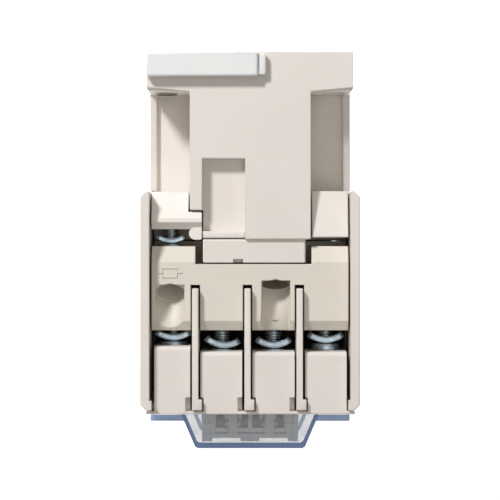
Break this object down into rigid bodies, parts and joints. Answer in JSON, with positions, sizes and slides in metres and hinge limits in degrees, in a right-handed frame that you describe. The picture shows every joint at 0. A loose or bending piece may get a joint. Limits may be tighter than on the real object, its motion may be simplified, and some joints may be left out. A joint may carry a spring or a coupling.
{
  "type": "din rail contactor",
  "caption": "Cream-cased electromagnetic contactor for a 35 mm rail, with screw clamp terminals at both ends, a sprung rail clip and a clear dust cover.",
  "frame": {"origin": "centre of the seat plane that rests on the rail's flanges, at y = 0", "axes": "+Y points out of the back towards the rail, +Z towards the load end that carries the single coil terminal, +X across the width; the user's face is at the lowest Y"},
  "size_m": [0.045, 0.0832, 0.076],
  "materials": {
    "cream_housing": "fine moulded matte",
    "ivory_housing": "fine moulded matte",
    "bright_cream": "fine moulded satin",
    "white_nylon": "satin nylon",
    "dark_plastic": "moulded matte",
    "grey_plastic": "moulded matte",
    "black_rubber": "matte",
    "laminated_steel": "stacked laminations",
    "zinc_steel": "bright zinc plate",
    "spring_steel": "drawn wire",
    "copper": "enamelled copper",
    "brass": "stamped brass with silver tips",
    "clear_blue": "clear blue-tinted polycarbonate"
  },
  "bodies": {
    "housing": {"base": "cream_housing", "fixed_core": "laminated_steel", "shading_ring_left": "copper", "shading_ring_right": "copper", "core_buffer": "black_rubber", "coil_bobbin": "dark_plastic", "coil_winding": "copper", "return_spring": "spring_steel", "coil_terminal_block_load": "bright_cream", "coil_terminal_block_line": "bright_cream", "middle_housing": "ivory_housing", "front_housing": "cream_housing", "front_cover": "cream_housing", "dust_cover": "clear_blue", "din_clip_spring": "spring_steel", "coil_contact_plate_load_left": "brass", "coil_contact_plate_line_left": "brass", "coil_contact_plate_line_right": "brass", "fixed_contact_load_1": "brass", "fixed_contact_load_2": "brass", "fixed_contact_load_3": "brass", "fixed_contact_load_4": "brass", "fixed_contact_line_1": "brass", "fixed_contact_line_2": "brass", "fixed_contact_line_3": "brass", "fixed_contact_line_4": "brass"},
    "carrier": {"contact_carrier": "grey_plastic", "armature": "laminated_steel", "armature_pin": "zinc_steel", "contact_spring_1": "spring_steel", "contact_spring_2": "spring_steel", "contact_spring_3": "spring_steel", "contact_spring_4": "spring_steel"},
    "bridge_1": {"contact_bridge_1": "brass"},
    "bridge_2": {"contact_bridge_2": "brass"},
    "bridge_3": {"contact_bridge_3": "brass"},
    "bridge_4": {"contact_bridge_4": "brass"},
    "rail_clip": {"din_clip": "white_nylon"},
    "washer_coil_load_left": {"coil_washer_load_left": "zinc_steel"},
    "screw_coil_load_left": {"coil_screw_load_left": "zinc_steel"},
    "washer_coil_line_left": {"coil_washer_line_left": "zinc_steel"},
    "screw_coil_line_left": {"coil_screw_line_left": "zinc_steel"},
    "washer_coil_line_right": {"coil_washer_line_right": "zinc_steel"},
    "screw_coil_line_right": {"coil_screw_line_right": "zinc_steel"},
    "washer_load_1": {"clamp_washer_load_1": "zinc_steel"},
    "screw_load_1": {"terminal_screw_load_1": "zinc_steel"},
    "washer_load_2": {"clamp_washer_load_2": "zinc_steel"},
    "screw_load_2": {"terminal_screw_load_2": "zinc_steel"},
    "washer_load_3": {"clamp_washer_load_3": "zinc_steel"},
    "screw_load_3": {"terminal_screw_load_3": "zinc_steel"},
    "washer_load_4": {"clamp_washer_load_4": "zinc_steel"},
    "screw_load_4": {"terminal_screw_load_4": "zinc_steel"},
    "washer_line_1": {"clamp_washer_line_1": "zinc_steel"},
    "screw_line_1": {"terminal_screw_line_1": "zinc_steel"},
    "washer_line_2": {"clamp_washer_line_2": "zinc_steel"},
    "screw_line_2": {"terminal_screw_line_2": "zinc_steel"},
    "washer_line_3": {"clamp_washer_line_3": "zinc_steel"},
    "screw_line_3": {"terminal_screw_line_3": "zinc_steel"},
    "washer_line_4": {"clamp_washer_line_4": "zinc_steel"},
    "screw_line_4": {"terminal_screw_line_4": "zinc_steel"}
  },
  "joints": [
    {"name": "carrier_slide", "type": "slide", "parent": "housing", "child": "carrier", "axis": [0, 1, 0], "range_m": [0, 0.005], "stiffness_N_per_m": 400, "springref_m": -0.006, "deforming": ["return_spring"]},
    {"name": "bridge_1_overtravel", "type": "slide", "parent": "carrier", "child": "bridge_1", "axis": [0, 1, 0], "range_m": [-0.0015, 0], "deforming": ["contact_spring_1"]},
    {"name": "bridge_2_overtravel", "type": "slide", "parent": "carrier", "child": "bridge_2", "axis": [0, 1, 0], "range_m": [-0.0015, 0], "deforming": ["contact_spring_2"]},
    {"name": "bridge_3_overtravel", "type": "slide", "parent": "carrier", "child": "bridge_3", "axis": [0, 1, 0], "range_m": [-0.0015, 0], "deforming": ["contact_spring_3"]},
    {"name": "bridge_4_overtravel", "type": "slide", "parent": "carrier", "child": "bridge_4", "axis": [0, 1, 0], "range_m": [-0.0015, 0], "deforming": ["contact_spring_4"]},
    {"name": "rail_clip_release", "type": "slide", "parent": "housing", "child": "rail_clip", "axis": [0, 0, 1], "range_m": [0, 0.0035], "stiffness_N_per_m": 1500, "springref_m": -0.002, "deforming": ["din_clip_spring"]},
    {"name": "washer_coil_load_left_travel", "type": "slide", "parent": "housing", "child": "washer_coil_load_left", "axis": [0, 1, 0], "range_m": [-0.0009, 0.0009]},
    {"name": "screw_coil_load_left_turn", "type": "hinge", "parent": "washer_coil_load_left", "child": "screw_coil_load_left", "pos_m": [-0.0165, -0.0378, 0.0275], "axis": [0, 1, 0], "range_deg": [-648.5, 648.5]},
    {"name": "washer_coil_line_left_travel", "type": "slide", "parent": "housing", "child": "washer_coil_line_left", "axis": [0, 1, 0], "range_m": [-0.0009, 0.0009]},
    {"name": "screw_coil_line_left_turn", "type": "hinge", "parent": "washer_coil_line_left", "child": "screw_coil_line_left", "pos_m": [-0.0165, -0.0378, -0.0275], "axis": [0, 1, 0], "range_deg": [-648.5, 648.5]},
    {"name": "washer_coil_line_right_travel", "type": "slide", "parent": "housing", "child": "washer_coil_line_right", "axis": [0, 1, 0], "range_m": [-0.0009, 0.0009]},
    {"name": "screw_coil_line_right_turn", "type": "hinge", "parent": "washer_coil_line_right", "child": "screw_coil_line_right", "pos_m": [0.0165, -0.0378, -0.0275], "axis": [0, 1, 0], "range_deg": [-648.5, 648.5]},
    {"name": "washer_load_1_travel", "type": "slide", "parent": "housing", "child": "washer_load_1", "axis": [0, 1, 0], "range_m": [-0.0008, 0.0003]},
    {"name": "screw_load_1_turn", "type": "hinge", "parent": "washer_load_1", "child": "screw_load_1", "pos_m": [-0.016, -0.0581, 0.0265], "axis": [0, 1, 0], "range_deg": [-480.5, 180.5]},
    {"name": "washer_load_2_travel", "type": "slide", "parent": "housing", "child": "washer_load_2", "axis": [0, 1, 0], "range_m": [-0.0003, 0.0015]},
    {"name": "screw_load_2_turn", "type": "hinge", "parent": "washer_load_2", "child": "screw_load_2", "pos_m": [-0.0059, -0.0597, 0.0265], "axis": [0, 1, 0], "range_deg": [-180.5, 900.5]},
    {"name": "washer_load_3_travel", "type": "slide", "parent": "housing", "child": "washer_load_3", "axis": [0, 1, 0], "range_m": [-0.0003, 0.0018]},
    {"name": "screw_load_3_turn", "type": "hinge", "parent": "washer_load_3", "child": "screw_load_3", "pos_m": [0.0049, -0.0597, 0.0265], "axis": [0, 1, 0], "range_deg": [-180.5, 1080.5]},
    {"name": "washer_load_4_travel", "type": "slide", "parent": "housing", "child": "washer_load_4", "axis": [0, 1, 0], "range_m": [-0.00135, 0.00075]},
    {"name": "screw_load_4_turn", "type": "hinge", "parent": "washer_load_4", "child": "screw_load_4", "pos_m": [0.0158, -0.0586, 0.0265], "axis": [0, 1, 0], "range_deg": [-810.5, 450.5]},
    {"name": "washer_line_1_travel", "type": "slide", "parent": "housing", "child": "washer_line_1", "axis": [0, 1, 0], "range_m": [-0.0003, 0.0018]},
    {"name": "screw_line_1_turn", "type": "hinge", "parent": "washer_line_1", "child": "screw_line_1", "pos_m": [-0.016, -0.0597, -0.0265], "axis": [0, 1, 0], "range_deg": [-180.5, 1080.5]},
    {"name": "washer_line_2_travel", "type": "slide", "parent": "housing", "child": "washer_line_2", "axis": [0, 1, 0], "range_m": [-0.0003, 0.0018]},
    {"name": "screw_line_2_turn", "type": "hinge", "parent": "washer_line_2", "child": "screw_line_2", "pos_m": [-0.0059, -0.0597, -0.0265], "axis": [0, 1, 0], "range_deg": [-180.5, 1080.5]},
    {"name": "washer_line_3_travel", "type": "slide", "parent": "housing", "child": "washer_line_3", "axis": [0, 1, 0], "range_m": [-0.0003, 0.0018]},
    {"name": "screw_line_3_turn", "type": "hinge", "parent": "washer_line_3", "child": "screw_line_3", "pos_m": [0.0049, -0.0597, -0.0265], "axis": [0, 1, 0], "range_deg": [-180.5, 1080.5]},
    {"name": "washer_line_4_travel", "type": "slide", "parent": "housing", "child": "washer_line_4", "axis": [0, 1, 0], "range_m": [-0.0003, 0.0018]},
    {"name": "screw_line_4_turn", "type": "hinge", "parent": "washer_line_4", "child": "screw_line_4", "pos_m": [0.0158, -0.0597, -0.0265], "axis": [0, 1, 0], "range_deg": [-180.5, 1080.5]}
  ],
  "couplings": [
    {"joint": "bridge_1_overtravel", "follows": "carrier_slide", "ratio": -0.3},
    {"joint": "bridge_2_overtravel", "follows": "carrier_slide", "ratio": -0.3},
    {"joint": "bridge_3_overtravel", "follows": "carrier_slide", "ratio": -0.3},
    {"joint": "bridge_4_overtravel", "follows": "carrier_slide", "ratio": -0.3},
    {"joint": "screw_coil_load_left_turn", "follows": "washer_coil_load_left_travel", "rad_per_m": 12566},
    {"joint": "screw_coil_line_left_turn", "follows": "washer_coil_line_left_travel", "rad_per_m": 12566},
    {"joint": "screw_coil_line_right_turn", "follows": "washer_coil_line_right_travel", "rad_per_m": 12566},
    {"joint": "screw_load_1_turn", "follows": "washer_load_1_travel", "rad_per_m": 10472},
    {"joint": "screw_load_2_turn", "follows": "washer_load_2_travel", "rad_per_m": 10472},
    {"joint": "screw_load_3_turn", "follows": "washer_load_3_travel", "rad_per_m": 10472},
    {"joint": "screw_load_4_turn", "follows": "washer_load_4_travel", "rad_per_m": 10472},
    {"joint": "screw_line_1_turn", "follows": "washer_line_1_travel", "rad_per_m": 10472},
    {"joint": "screw_line_2_turn", "follows": "washer_line_2_travel", "rad_per_m": 10472},
    {"joint": "screw_line_3_turn", "follows": "washer_line_3_travel", "rad_per_m": 10472},
    {"joint": "screw_line_4_turn", "follows": "washer_line_4_travel", "rad_per_m": 10472}
  ]
}
